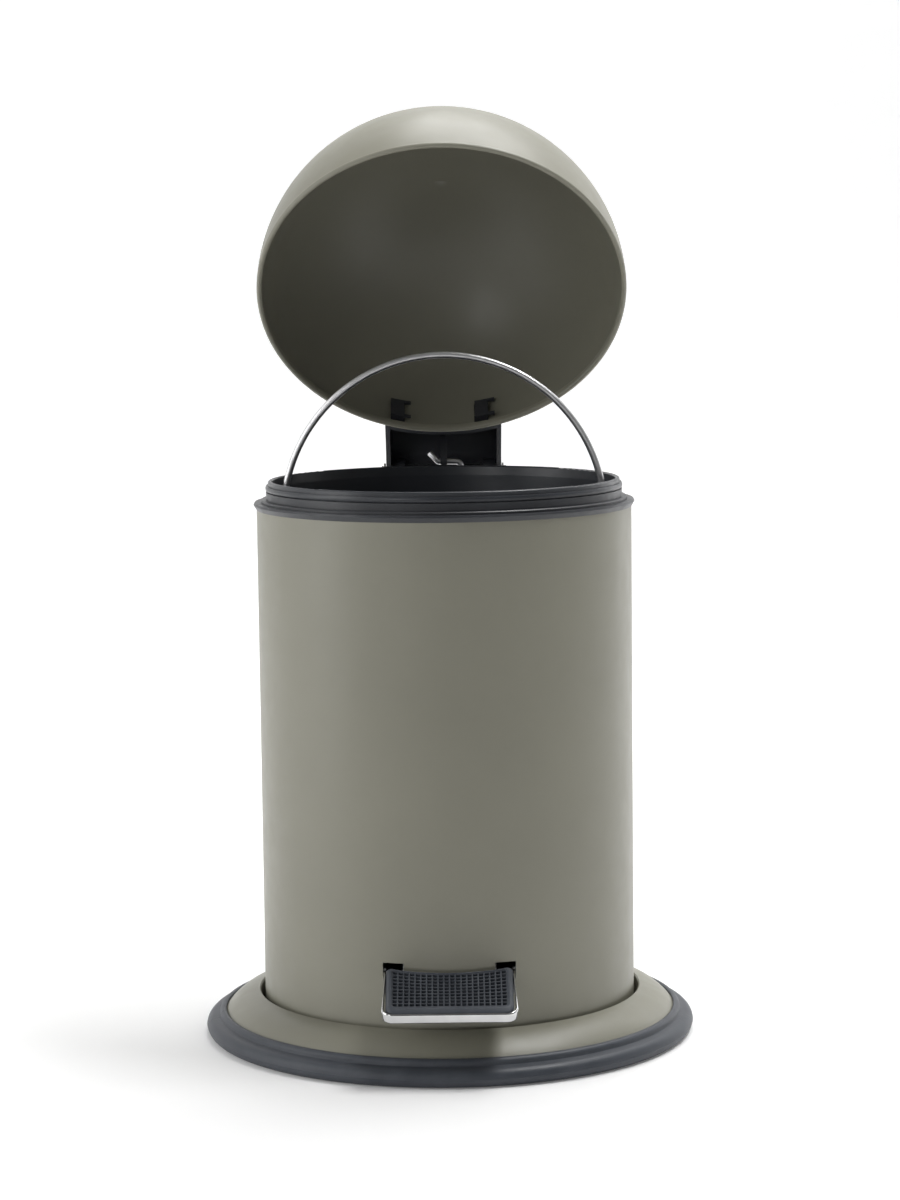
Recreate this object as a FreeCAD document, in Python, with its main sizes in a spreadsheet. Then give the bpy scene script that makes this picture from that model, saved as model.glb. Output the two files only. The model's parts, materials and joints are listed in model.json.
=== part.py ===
import FreeCAD, Part
import math
import os

import Sketcher
from FreeCAD import Placement, Rotation, Vector

# Pedal trash can: a cylindrical painted shell on a wide round base, a lift-out bucket with a wire
# bail, and a dome lid that a foot pedal opens through a lever and a push rod behind the shell.
# Millimetres. The origin is on the floor, on the shell's axis. +X right, -Y the pedal side, +Z up.
# Rest pose: pedal pressed, lid open by lid_open degrees, bail upright.
# The lid and its bracket are drawn closed and turned open about the hinge pin.

DIMS = {
    # shell
    "shell_r": 85.0, "skin": 0.8, "shell_foot": 6.2, "shell_top": 241.0,
    "arm_slot_in": 19.9, "arm_slot_out": 29.0, "arm_slot_low": 37.0, "arm_slot_high": 48.5,
    "tail_slot_half": 4.5, "tail_slot_low": 27.0, "tail_slot_high": 66.0,
    # painted base ring, rubber ring and base plate
    "ring_in": 87.0, "ring_out": 103.0, "ring_top": 20.0, "ring_edge": 10.5, "ring_skirt": 6.5,
    "ring_skin": 1.2, "ring_bow": 26.0, "flange_in": 76.0, "flange_low": 5.0,
    "rubber_in": 95.5, "rubber_out": 109.8, "rubber_bow": 4.5, "rubber_shoulder": 8.4,
    "bead_r": 106.2, "bead_bow": 2.2, "bead_top": 11.6,
    "plate_skin": 1.2, "plate_rim": 16.0, "base_screw_circle": 80.0,
    # collar
    "collar_flange_r": 86.4, "collar_flange_top": 244.0, "collar_step_r": 83.1,
    "collar_step_top": 245.4, "collar_wall_r": 80.7, "collar_wall_top": 248.9, "collar_bore": 79.3,
    "collar_plug_low": 232.0, "collar_plug_skin": 1.6, "collar_floor": 242.2,
    # bucket
    "bucket_low": 66.5, "bucket_low_r": 74.0, "bucket_neck_r": 78.9, "bucket_wall": 1.6,
    "bucket_floor": 1.8, "bucket_bead_r": 81.0, "bucket_bead_low": 249.3, "bucket_bead_top": 251.6,
    "bucket_rim_out": 79.7, "bucket_rim_in": 77.7, "bucket_top": 254.0,
    "boss_r": 4.0, "boss_in": 75.9, "boss_out": 78.3,
    # bail
    "bail_z": 234.0, "bail_r": 73.0, "bail_wire": 1.55, "bail_bend": 2.5, "bail_end": 2.7,
    "bail_hole": 1.62,
    # lid
    "lid_r": 85.7, "lid_z": 245.5, "lid_skin": 0.8, "hem_deep": 2.3, "hem_half": 1.15, "hem_rise": 2.4,
    "lid_open": 51.7, "clip_left": -22.0, "clip_right": 18.4, "clip_half": 3.2,
    "clip_low": 249.5, "clip_high": 261.0,
    "clip_in_r": 81.5, "clip_start": 74.0, "prong_long": 3.2, "prong_thick": 1.6,
    "prong_left_y": 80.6, "prong_right_y": 79.2,
    # hinge, its fixed block and the lid's bracket
    "hinge_y": 114.0, "hinge_z": 250.0, "hinge_pin_r": 2.0, "hinge_hole": 2.06, "hinge_pin_half": 30.4,
    "ear_in": 19.0, "ear_out": 25.2, "ear_r": 4.6, "block_low": 200.0, "block_back": 107.1,
    "block_front": 78.0, "block_web": 87.6, "block_step": 226.0, "channel_half": 12.5,
    "channel_back": 105.5,
    "bracket_in": 25.8, "bracket_out": 28.0, "bracket_gap": 0.1, "bracket_skin": 1.8,
    "bracket_front": 72.0, "bracket_crown": 15.0, "bracket_crown_in": 13.4, "rib_front": 70.0,
    "rib_half": 1.6, "rib_r": 4.2, "clip_ring_r": 3.8, "clip_ring_thick": 0.9, "clip_ring_gap": 0.4,
    # push rod and its cover
    "crank_y": 97.6, "crank_z": 236.9, "rod_r": 1.5, "rod_hole": 1.58, "rod_x": 8.3, "rod_bend": 2.5,
    "rod_drop": 204.7, "rod_hook": 4.5, "rod_kink_x": 2.6, "rod_kink_long": 6.2,
    "cover_front": 80.0, "cover_low": 23.0, "cover_high": 199.7, "cover_half": 14.1,
    "cover_skin": 1.6, "cover_turn": 33.0,
    # pedal lever and its fulcrum
    "pivot_y": -64.0, "pivot_z": 42.0, "pivot_pin_r": 2.0, "pivot_hole": 2.06, "barrel_r": 4.0,
    "arm_in": 20.6, "arm_out": 27.6, "bar_half": 7.0, "bar_end": 76.0, "tab_half": 1.25,
    "tab_start": 46.0, "eye_y": 96.2, "eye_z": 50.0,
    "eye_half": 5.0, "eye_high": 2.5, "fulcrum_in": 29.8, "fulcrum_out": 31.8, "fulcrum_half": 10.0,
    "pivot_pin_half": 33.6,
    # pedal tray and pad, drawn flat and tilted down towards the front
    "pedal_y": -85.6, "pedal_z": 43.7, "pedal_tilt": 22.0, "tray_rear": 3.2, "tray_front": 30.6,
    "tray_half": 28.5, "tray_flare": 0.9, "tray_skin": 1.2, "tray_rim": 1.4, "tray_skirt": 1.8,
    "tray_edge": 0.8, "tray_bow": 100.0, "tongue_in": 12.0, "tongue_reach": 11.5, "pad_half": 27.5,
    "pad_front": 29.4, "pad_thick": 2.4, "pad_corner": 3.5, "rivet_front": 16.0, "rivet_rear": 6.0,
    # fasteners
    "screw_head": 3.0, "screw_head_high": 1.6, "screw_shank": 1.5, "screw_long": 6.0,
    "rivet_head": 2.4, "rivet_head_high": 1.0, "rivet_shank": 1.2,
    "block_screw_x": 18.6, "block_screw_low": 208.0, "block_screw_high": 221.0,
    "cover_screw_x": 19.2, "cover_screw_low": 70.0, "cover_screw_high": 180.0,
}

os.makedirs("parts", exist_ok=True)
doc = FreeCAD.newDocument("pedal_trash_can")


def make_sheet():
    """The driving dimensions: each row holds a name and a plain number with that name as alias."""
    sheet = doc.addObject("Spreadsheet::Sheet", "Dims")
    for row, (alias, value) in enumerate(DIMS.items(), start=1):
        sheet.set("A%d" % row, alias)
        sheet.set("B%d" % row, str(value))
        sheet.setAlias("B%d" % row, alias)
    doc.recompute()


# Every size is written as a sum of dimension names and numbers, such as "shell_r - skin".


def amount(words):
    """The number that a sum of dimension names stands for."""
    total, sign = 0.0, 1.0
    for word in words.split():
        if word in ("+", "-"):
            sign = 1.0 if word == "+" else -1.0
        else:
            total += sign * (DIMS[word] if word in DIMS else float(word))
    return total


def bound(words):
    """The same sum as an expression on the sheet's cells."""
    return " ".join("Dims." + word if word in DIMS else word for word in words.split())


def minus(words):
    """The sum with its sign turned round."""
    swap = {"+": "-", "-": "+"}
    parts = words.split()
    start = [] if parts[0] in swap else ["-"]
    turned = start + [swap.get(word, word) for word in parts]
    return " ".join(turned[1:] if turned[0] == "+" else turned)


def new_body(name):
    body = doc.addObject("PartDesign::Body", name)
    body.Label = name
    return body


def new_sketch(body, role, offset=None):
    """A sketch on one of the body's own origin planes, moved along its normal by offset."""
    sketch = body.newObject("Sketcher::SketchObject", body.Name + "_sketch")
    plane = next(item for item in body.Origin.OriginFeatures if item.Role == role)
    sketch.AttachmentSupport = [(plane, "")]
    sketch.MapMode = "FlatFace"
    if offset is not None:
        sketch.setExpression("AttachmentOffset.Base.z", bound(offset))
    return sketch


def bind(sketch, kind, words, *ends):
    """A sketch dimension tied to the sheet."""
    index = sketch.addConstraint(Sketcher.Constraint(kind, *ends, amount(words)))
    sketch.setExpression("Constraints[%d]" % index, bound(words))


def pin_point(sketch, geometry, end, x, y):
    """Fix one end of a line or arc, or a circle's centre, at (x, y)."""
    for kind, words, axis in (("DistanceX", x, -2), ("DistanceY", y, -1)):
        if words == "0":
            sketch.addConstraint(Sketcher.Constraint("PointOnObject", geometry, end, axis))
        else:
            bind(sketch, kind, words, -1, 1, geometry, end)


def bowed(start, end, radius, side):
    """The short arc from start to end that bows to the left (side 1) or to the right (side -1)."""
    along = (end - start).normalize()
    half = (end - start).Length / 2
    left = Vector(-along.y, along.x, 0)
    centre = (start + end) / 2 - left * side * math.sqrt(radius * radius - half * half)
    first, last = (end, start) if side > 0 else (start, end)
    angles = [math.atan2(point.y - centre.y, point.x - centre.x) for point in (first, last)]
    if angles[1] < angles[0]:
        angles[1] += 2 * math.pi
    return Part.ArcOfCircle(Part.Circle(centre, Vector(0, 0, 1), radius), *angles)


def outline(sketch, points, arcs=None):
    """A closed outline. arcs gives the radius and the bowing side of the stretches that are arcs."""
    arcs = arcs or {}
    spots = [Vector(amount(x), amount(y), 0) for x, y in points]
    ends = []
    for index, start in enumerate(spots):
        end = spots[(index + 1) % len(spots)]
        if index in arcs:
            words, side = arcs[index]
            geometry = sketch.addGeometry(bowed(start, end, amount(words), side), False)
            ends.append((geometry, 2, 1) if side > 0 else (geometry, 1, 2))
        else:
            geometry = sketch.addGeometry(Part.LineSegment(start, end), False)
            ends.append((geometry, 1, 2))
    for index, (geometry, _, last) in enumerate(ends):
        following, first, _ = ends[(index + 1) % len(ends)]
        sketch.addConstraint(Sketcher.Constraint("Coincident", geometry, last, following, first))
    for (geometry, first, _), (x, y) in zip(ends, points):
        pin_point(sketch, geometry, first, x, y)
    for index, (words, _) in arcs.items():
        bind(sketch, "Radius", words, ends[index][0])


def rectangle(sketch, left, low, right, high):
    outline(sketch, [(left, low), (right, low), (right, high), (left, high)])


def circle(sketch, x, y, radius):
    centre = Vector(amount(x), amount(y), 0)
    geometry = sketch.addGeometry(Part.Circle(centre, Vector(0, 0, 1), amount(radius)), False)
    pin_point(sketch, geometry, 3, x, y)
    bind(sketch, "Radius", radius, geometry)


def feature(body, kind, sketch, **settings):
    made = body.newObject("PartDesign::" + kind, "%s_%s" % (body.Name, kind.lower()))
    made.Profile = sketch
    for name, value in settings.items():
        setattr(made, name, value)
    return made


def pad(body, sketch, length, **settings):
    made = feature(body, "Pad", sketch, **settings)
    made.setExpression("Length", bound(length))
    doc.recompute()


def both_ways(body, sketch, half, kind="Pad"):
    """A pad or pocket that reaches half to each side of its sketch."""
    made = feature(body, kind, sketch, SideType="Symmetric")
    made.setExpression("Length", "2 * (%s)" % bound(half))
    doc.recompute()


def pocket(body, sketch, length, **settings):
    made = feature(body, "Pocket", sketch, **settings)
    made.setExpression("Length", bound(length))
    doc.recompute()


def pocket_through(body, sketch, **settings):
    feature(body, "Pocket", sketch, Type="ThroughAll", **settings)
    doc.recompute()


def spin(body, sketch, kind="Revolution"):
    """A full turn of the sketch about the vertical axis."""
    feature(body, kind, sketch, ReferenceAxis=(sketch, ["V_Axis"]), Angle=360.0)
    doc.recompute()


def spin_part(body, sketch, angle):
    """A part turn about the vertical axis, half of the angle to each side."""
    made = feature(body, "Revolution", sketch, ReferenceAxis=(sketch, ["V_Axis"]), Midplane=True)
    made.setExpression("Angle", bound(angle))
    doc.recompute()


def round_edges(body, radius, chosen):
    """Fillet the edges that the test picks."""
    base = body.Tip
    edges = enumerate(base.Shape.Edges, start=1)
    names = ["Edge%d" % number for number, edge in edges if chosen(edge)]
    made = body.newObject("PartDesign::Fillet", body.Name + "_fillet")
    made.Base = (base, names)
    made.Radius = radius
    doc.recompute()


def solid(kind, sizes, place, turn=Rotation()):
    """A Part primitive with bound sizes, placed by three bound coordinates."""
    made = doc.addObject("Part::" + kind, kind.lower())
    for name, words in sizes.items():
        made.setExpression(name, bound(words))
    made.Placement = Placement(Vector(), turn)
    for axis, words in zip("xyz", place):
        made.setExpression("Placement.Base." + axis, bound(words))
    return made


def fused(name, pieces):
    made = doc.addObject("Part::MultiFuse", name)
    made.Shapes = pieces
    made.Label = name
    return made


def fasteners(name, spots, facing, head, high, shank, long):
    """Equal screws or rivets. The head stands out along facing and the shank runs the other way."""
    pieces = []
    for place in spots:
        top = solid("Cone", {"Radius1": head, "Radius2": head + " - 0.7", "Height": high}, "000")
        stem = solid("Cylinder", {"Radius": shank, "Height": long}, ("0", "0", minus(long)))
        piece = fused(name + "_piece", [top, stem])
        piece.Placement = Placement(Vector(), Rotation(Vector(0, 0, 1), facing))
        for axis, words in zip("xyz", place):
            piece.setExpression("Placement.Base." + axis, bound(words))
        pieces.append(piece)
    group = doc.addObject("Part::Compound", name)
    group.Links = pieces
    group.Label = name
    return group


ALONG_X = Rotation(Vector(0, 0, 1), Vector(1, 0, 0))
AGAINST_X = Rotation(Vector(0, 0, 1), Vector(-1, 0, 0))
UPRIGHT = Rotation(Vector(1, 0, 0), 90)


def quarter(turn):
    """Places a quarter ring upright in the XZ plane, starting turn degrees from +X."""
    return UPRIGHT * Rotation(Vector(0, 0, 1), turn)


def lid_turn():
    """The lid's turn about the hinge pin, from closed to the rest pose."""
    centre = Vector(0, DIMS["hinge_y"], DIMS["hinge_z"])
    return Placement(Vector(), Rotation(Vector(-1, 0, 0), DIMS["lid_open"]), centre)


# ---- shell and base ----


def body_shell():
    body = new_body("body_shell")
    wall = new_sketch(body, "XZ_Plane")
    rectangle(wall, "shell_r - skin", "shell_foot", "shell_r", "shell_top")
    spin(body, wall)
    for left, right in (("arm_slot_in", "arm_slot_out"), ("- arm_slot_out", "- arm_slot_in")):
        slot = new_sketch(body, "XZ_Plane")
        rectangle(slot, left, "arm_slot_low", right, "arm_slot_high")
        pocket_through(body, slot, Reversed=True)
    slot = new_sketch(body, "XZ_Plane")
    rectangle(slot, "- tail_slot_half", "tail_slot_low", "tail_slot_half", "tail_slot_high")
    pocket_through(body, slot)
    for x in ("block_screw_x", "- block_screw_x"):
        for z in ("block_screw_low", "block_screw_high"):
            hole = new_sketch(body, "XZ_Plane")
            circle(hole, x, z, "screw_shank")
            pocket_through(body, hole)
    for x in ("cover_screw_x", "- cover_screw_x"):
        for z in ("cover_screw_low", "cover_screw_high"):
            hole = new_sketch(body, "XZ_Plane")
            circle(hole, x, z, "screw_shank")
            pocket_through(body, hole)
    return body


def base_ring():
    body = new_body("base_ring")
    section = new_sketch(body, "XZ_Plane")
    outline(section, [
        ("flange_in", "flange_low"),
        ("ring_in + ring_skin", "flange_low"),
        ("ring_in + ring_skin", "ring_top - 1.8"),
        ("ring_out - ring_skin", "ring_edge - 0.6"),
        ("ring_out - ring_skin", "ring_skirt"),
        ("ring_out", "ring_skirt"),
        ("ring_out", "ring_edge"),
        ("ring_in + 0.6", "ring_top"),
        ("ring_in", "ring_top - 0.6"),
        ("ring_in", "shell_foot"),
        ("flange_in", "shell_foot"),
    ], {2: ("ring_bow", 1), 6: ("ring_bow", -1)})
    spin(body, section)
    return body


def rubber_ring():
    body = new_body("rubber_ring")
    section = new_sketch(body, "XZ_Plane")
    outline(section, [
        ("rubber_in", "0"),
        ("rubber_out - 1.3", "0"),
        ("rubber_out", "rubber_shoulder"),
        ("bead_r", "rubber_shoulder + 0.4"),
        ("ring_out + 0.4", "bead_top"),
        ("ring_out", "bead_top - 0.4"),
        ("ring_out", "ring_skirt"),
        ("ring_out - ring_skin", "ring_skirt"),
        ("ring_out - ring_skin", "ring_edge - 1.3"),
        ("rubber_in + 3.0", "ring_edge - 1.3"),
        ("rubber_in + 3.0", "4.0"),
        ("rubber_in", "3.0"),
    ], {1: ("rubber_bow", -1), 3: ("bead_bow", -1)})
    spin(body, section)
    return body


def base_plate():
    body = new_body("base_plate")
    section = new_sketch(body, "XZ_Plane")
    outline(section, [
        ("0", "shell_foot"),
        ("shell_r - skin", "shell_foot"),
        ("shell_r - skin", "plate_rim"),
        ("shell_r - skin - plate_skin", "plate_rim"),
        ("shell_r - skin - plate_skin", "shell_foot + plate_skin"),
        ("0", "shell_foot + plate_skin"),
    ])
    spin(body, section)
    return body


def base_screws():
    angles = (45, 135, 225, 315)
    reach = DIMS["base_screw_circle"]
    spots = []
    for angle in angles:
        x = "%.3f" % (reach * math.cos(math.radians(angle)))
        y = "%.3f" % (reach * math.sin(math.radians(angle)))
        spots.append((x.replace("-", "- "), y.replace("-", "- "), "flange_low"))
    return fasteners("base_screws", spots, Vector(0, 0, -1),
                     "screw_head", "screw_head_high", "screw_shank", "screw_long")


# ---- top collar, bucket and bail ----


def top_collar():
    body = new_body("top_collar")
    section = new_sketch(body, "XZ_Plane")
    outline(section, [
        ("collar_bore", "collar_plug_low + 4.0"),
        ("collar_bore + 1.2", "collar_plug_low + 4.0"),
        ("collar_bore + 1.2", "collar_floor"),
        ("shell_r - skin - collar_plug_skin", "collar_floor"),
        ("shell_r - skin - collar_plug_skin", "collar_plug_low"),
        ("shell_r - skin", "collar_plug_low"),
        ("shell_r - skin", "shell_top"),
        ("shell_r + 0.1", "shell_top"),
        ("collar_flange_r", "collar_flange_top - 0.9"),
        ("collar_flange_r - 0.4", "collar_flange_top"),
        ("collar_step_r", "collar_flange_top"),
        ("collar_step_r", "collar_step_top - 0.4"),
        ("collar_step_r - 0.4", "collar_step_top"),
        ("collar_wall_r", "collar_step_top"),
        ("collar_wall_r", "collar_wall_top"),
        ("collar_bore", "collar_wall_top"),
    ])
    spin(body, section)
    return body


def inner_bucket():
    body = new_body("inner_bucket")
    section = new_sketch(body, "XZ_Plane")
    outline(section, [
        ("0", "bucket_low"),
        ("bucket_low_r - 2.0", "bucket_low"),
        ("bucket_low_r", "bucket_low + 2.0"),
        ("bucket_neck_r", "bucket_bead_low"),
        ("bucket_bead_r - 0.4", "bucket_bead_low"),
        ("bucket_bead_r - 0.4", "bucket_bead_top"),
        ("bucket_rim_out", "bucket_bead_top"),
        ("bucket_rim_out", "bucket_top - 0.8"),
        ("bucket_rim_in", "bucket_top - 0.8"),
        ("bucket_neck_r - bucket_wall", "bucket_bead_low"),
        ("bucket_low_r - bucket_wall", "bucket_low + bucket_floor"),
        ("0", "bucket_low + bucket_floor"),
    ], {4: ("bead_bow", -1), 7: ("bead_bow - 1.1", -1)})
    spin(body, section)
    boss = new_sketch(body, "YZ_Plane")
    circle(boss, "0", "bail_z", "boss_r")
    both_ways(body, boss, "boss_out")
    inside = new_sketch(body, "YZ_Plane")
    circle(inside, "0", "bail_z", "boss_r + 0.3")
    both_ways(body, inside, "boss_in", "Pocket")
    bore = new_sketch(body, "YZ_Plane")
    circle(bore, "0", "bail_z", "bail_hole")
    both_ways(body, bore, "shell_r", "Pocket")
    return body


def bail_handle():
    """A half hoop of wire, with both ends bent outwards into the bucket's bosses."""
    hoop_z = "bail_z + bail_bend"
    elbow_x = "bail_r + bail_bend"
    wire = {"Radius2": "bail_wire", "Radius1": "bail_r", "Angle3": "180"}
    bend = {"Radius2": "bail_wire", "Radius1": "bail_bend", "Angle3": "90"}
    end = {"Radius": "bail_wire", "Height": "bail_end"}
    return fused("bail_handle", [
        solid("Torus", wire, ("0", "0", hoop_z), UPRIGHT),
        solid("Torus", bend, (elbow_x, "0", hoop_z), quarter(180)),
        solid("Torus", bend, (minus(elbow_x), "0", hoop_z), quarter(270)),
        solid("Cylinder", end, (elbow_x, "0", "bail_z"), ALONG_X),
        solid("Cylinder", end, (minus(elbow_x), "0", "bail_z"), AGAINST_X),
    ])


# ---- lid ----


def lid_dome():
    body = new_body("lid_dome")
    skin = new_sketch(body, "XZ_Plane")
    outline(skin, [
        ("0", "lid_z + lid_r"),
        ("lid_r", "lid_z"),
        ("lid_r - lid_skin", "lid_z"),
        ("0", "lid_z + lid_r - lid_skin"),
    ], {0: ("lid_r", 1), 2: ("lid_r - lid_skin", -1)})
    spin(body, skin)
    hem = new_sketch(body, "XZ_Plane")
    outline(hem, [
        ("lid_r", "lid_z"),
        ("lid_r - hem_half", "lid_z - hem_half"),
        ("lid_r - hem_deep", "lid_z"),
        ("lid_r - hem_deep", "lid_z + hem_rise - 0.5"),
        ("lid_r - hem_deep + 0.5", "lid_z + hem_rise"),
        ("lid_r - lid_skin + 0.4", "lid_z + hem_rise"),
        ("lid_r - lid_skin + 0.4", "lid_z"),
    ], {0: ("hem_half", 1), 1: ("hem_half", 1)})
    spin(body, hem)
    for x in ("clip_left", "clip_right"):
        slot = new_sketch(body, "XZ_Plane")
        rectangle(slot, x + " - clip_half - 0.2", "clip_low - 0.2",
                  x + " + clip_half + 0.2", "clip_high + 0.2")
        pocket_through(body, slot)
    body.Placement = lid_turn()
    return body


def lid_bracket():
    body = new_body("lid_bracket")
    side = new_sketch(body, "YZ_Plane")
    outline(side, [
        ("bracket_front", "lid_z - 0.6"),
        ("hinge_y - 8.0", "lid_z - 0.6"),
        ("hinge_y - 1.5", "hinge_z - 6.2"),
        ("hinge_y + 4.5", "hinge_z - 4.4"),
        ("hinge_y + 7.0", "hinge_z"),
        ("hinge_y + 7.0", "hinge_z + 3.5"),
        ("hinge_y - 3.0", "hinge_z + 9.6"),
        ("hinge_y - 20.0", "hinge_z + 14.0"),
        ("bracket_front", "hinge_z + 14.5"),
    ], {5: ("bracket_crown", -1)})
    both_ways(body, side, "bracket_out")
    hollow = new_sketch(body, "YZ_Plane")
    outline(hollow, [
        ("rib_front", "crank_z - 8.0"),
        ("hinge_y + 9.0", "crank_z - 8.0"),
        ("hinge_y + 9.0", "hinge_z + 1.0"),
        ("hinge_y + 5.3", "hinge_z + 1.0"),
        ("hinge_y + 5.3", "hinge_z + 2.7"),
        ("hinge_y - 3.6", "hinge_z + 7.9"),
        ("hinge_y - 20.2", "hinge_z + 12.2"),
        ("rib_front", "hinge_z + 12.7"),
    ], {4: ("bracket_crown_in", -1)})
    both_ways(body, hollow, "bracket_in", "Pocket")
    rib = new_sketch(body, "YZ_Plane")
    outline(rib, [
        ("crank_y - rib_r", "crank_z"),
        ("crank_y", "crank_z - rib_r"),
        ("crank_y + rib_r", "crank_z"),
        ("crank_y + rib_r + 3.0", "hinge_z + 11.0"),
        ("bracket_front", "hinge_z + 13.0"),
        ("bracket_front", "lid_z + 5.0"),
        ("crank_y - rib_r - 2.0", "lid_z + 4.0"),
    ], {0: ("rib_r", -1), 1: ("rib_r", -1)})
    both_ways(body, rib, "rib_half")
    front = new_sketch(body, "YZ_Plane")
    outline(front, [
        ("lid_r - 2.0", "lid_z - 0.6"),
        ("lid_r + bracket_skin", "lid_z - 0.6"),
        ("lid_r + bracket_skin - 2.2", "hinge_z + 14.2"),
        ("lid_r - 4.0", "hinge_z + 14.2"),
    ], {1: ("lid_r + bracket_skin", -1)})
    spin_part(body, front, "cover_turn + 4.4")
    ball = new_sketch(body, "XZ_Plane")
    outline(ball, [
        ("0", "lid_z - lid_r - bracket_gap"),
        ("lid_r + bracket_gap", "lid_z"),
        ("0", "lid_z + lid_r + bracket_gap"),
    ], {0: ("lid_r + bracket_gap", -1), 1: ("lid_r + bracket_gap", -1)})
    spin(body, ball, "Groove")
    pin = new_sketch(body, "YZ_Plane")
    circle(pin, "hinge_y", "hinge_z", "hinge_hole")
    both_ways(body, pin, "bracket_out", "Pocket")
    eye = new_sketch(body, "YZ_Plane")
    circle(eye, "crank_y", "crank_z", "rod_hole")
    both_ways(body, eye, "rib_half", "Pocket")
    add_clip(body, "clip_left", "prong_left_y")
    add_clip(body, "clip_right", "prong_right_y")
    clear = new_sketch(body, "XY_Plane")
    circle(clear, "0", "0", "clip_in_r")
    pocket_through(body, clear, SideType="Symmetric")
    body.Placement = lid_turn()
    return body


def add_clip(body, x, prong_y):
    """A block through the lid's slot, with two thin prongs on its right inside the lid."""
    right = x + " + clip_half"
    block = new_sketch(body, "XZ_Plane", minus("clip_start"))
    rectangle(block, x + " - clip_half", "clip_low", right, "clip_high")
    pad(body, block, "lid_r - clip_start - 0.9", Reversed=True)
    for low, high in (("clip_low", "clip_low + prong_thick"), ("clip_high - prong_thick", "clip_high")):
        prong = new_sketch(body, "XZ_Plane", minus("clip_start"))
        rectangle(prong, right + " - 0.5", low, right + " + prong_long", high)
        pad(body, prong, prong_y + " - clip_start", Reversed=True)


# ---- hinge and push rod ----


def hinge_block():
    body = new_body("hinge_block")
    side = new_sketch(body, "YZ_Plane")
    outline(side, [
        ("block_front", "block_low"),
        ("block_back", "block_low"),
        ("block_back", "block_step"),
        ("hinge_y - 0.3", "hinge_z - ear_r"),
        ("hinge_y + ear_r - 0.1", "hinge_z + 0.9"),
        ("hinge_y - ear_r + 0.1", "hinge_z + 0.9"),
        ("hinge_y - 8.5", "hinge_z - 4.2"),
        ("block_web + 7.0", "shell_top - 0.2"),
        ("block_front", "shell_top - 0.2"),
    ], {3: ("ear_r", -1), 4: ("ear_r", -1)})
    both_ways(body, side, "ear_out")
    seat = new_sketch(body, "XY_Plane")
    circle(seat, "0", "0", "shell_r")
    pocket_through(body, seat, SideType="Symmetric")
    channel = new_sketch(body, "XY_Plane")
    rectangle(channel, "- channel_half", "block_web", "channel_half", "channel_back")
    pocket_through(body, channel, SideType="Symmetric")
    gap = new_sketch(body, "YZ_Plane")
    rectangle(gap, "block_web", "block_step", "hinge_y + 10.0", "hinge_z + 10.0")
    both_ways(body, gap, "ear_in", "Pocket")
    pin = new_sketch(body, "YZ_Plane")
    circle(pin, "hinge_y", "hinge_z", "hinge_pin_r")
    both_ways(body, pin, "ear_out", "Pocket")
    round_edges(body, 2.5, lambda edge: abs(edge.CenterOfMass.y - DIMS["block_back"]) < 0.01
                and abs(abs(edge.CenterOfMass.x) - DIMS["ear_out"]) < 0.01)
    for x in ("block_screw_x", "- block_screw_x"):
        for z in ("block_screw_low", "block_screw_high"):
            hole = new_sketch(body, "XZ_Plane")
            circle(hole, x, z, "screw_shank")
            pocket(body, hole, "block_web + 2.0")
    return body


def hinge_block_screws():
    """Driven from inside the shell, so their heads are under the collar's skirt."""
    spots = [(x, "shell_r - 3.9", z) for x in ("block_screw_x", "- block_screw_x")
             for z in ("block_screw_low", "block_screw_high")]
    return fasteners("hinge_block_screws", spots, Vector(0, -1, 0),
                     "screw_head", "screw_head_high", "screw_shank", "screw_long + 1.0")


def hinge_pin():
    pin = solid("Cylinder", {"Radius": "hinge_pin_r", "Height": "hinge_pin_half + hinge_pin_half"},
                ("- hinge_pin_half", "hinge_y", "hinge_z"), ALONG_X)
    pin.Label = "hinge_pin"
    return pin


def clip_rings(name, half, y, z, pin_r):
    """A retaining ring on each end of a pin, just outside the wall that ends at half."""
    rings = []
    for start, turn in ((half, ALONG_X), (minus(half), AGAINST_X)):
        disc = solid("Cylinder", {"Radius": "clip_ring_r", "Height": "clip_ring_thick"}, (start, y, z), turn)
        hole = solid("Cylinder", {"Radius": pin_r, "Height": "clip_ring_thick"}, (start, y, z), turn)
        ring = doc.addObject("Part::Cut", name + "_ring")
        ring.Base = disc
        ring.Tool = hole
        rings.append(ring)
    group = doc.addObject("Part::Compound", name)
    group.Links = rings
    group.Label = name
    return group


def rod_cover():
    body = new_body("rod_cover")
    flange = new_sketch(body, "YZ_Plane")
    rectangle(flange, "shell_r", "cover_low", "shell_r + cover_skin", "cover_high")
    spin_part(body, flange, "cover_turn")
    box = new_sketch(body, "XY_Plane", "cover_low")
    rectangle(box, "- cover_half", "cover_front", "cover_half", "channel_back + cover_skin")
    pad(body, box, "cover_high - cover_low")
    seat = new_sketch(body, "XY_Plane")
    circle(seat, "0", "0", "shell_r")
    pocket_through(body, seat, SideType="Symmetric")
    channel = new_sketch(body, "XY_Plane")
    rectangle(channel, "- channel_half", "cover_front", "channel_half", "channel_back")
    pocket_through(body, channel, SideType="Symmetric")
    back = DIMS["channel_back"] + DIMS["cover_skin"]
    round_edges(body, 4.0, lambda edge: abs(edge.CenterOfMass.y - back) < 0.01
                and abs(abs(edge.CenterOfMass.x) - DIMS["cover_half"]) < 0.01)
    for x in ("cover_screw_x", "- cover_screw_x"):
        for z in ("cover_screw_low", "cover_screw_high"):
            hole = new_sketch(body, "XZ_Plane")
            circle(hole, x, z, "screw_shank")
            pocket_through(body, hole)
    return body


def rod_cover_screws():
    spots = [(x, "shell_r - 0.4", z) for x in ("cover_screw_x", "- cover_screw_x")
             for z in ("cover_screw_low", "cover_screw_high")]
    return fasteners("rod_cover_screws", spots, Vector(0, 1, 0),
                     "screw_head", "screw_head_high", "screw_shank", "screw_long")


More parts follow.
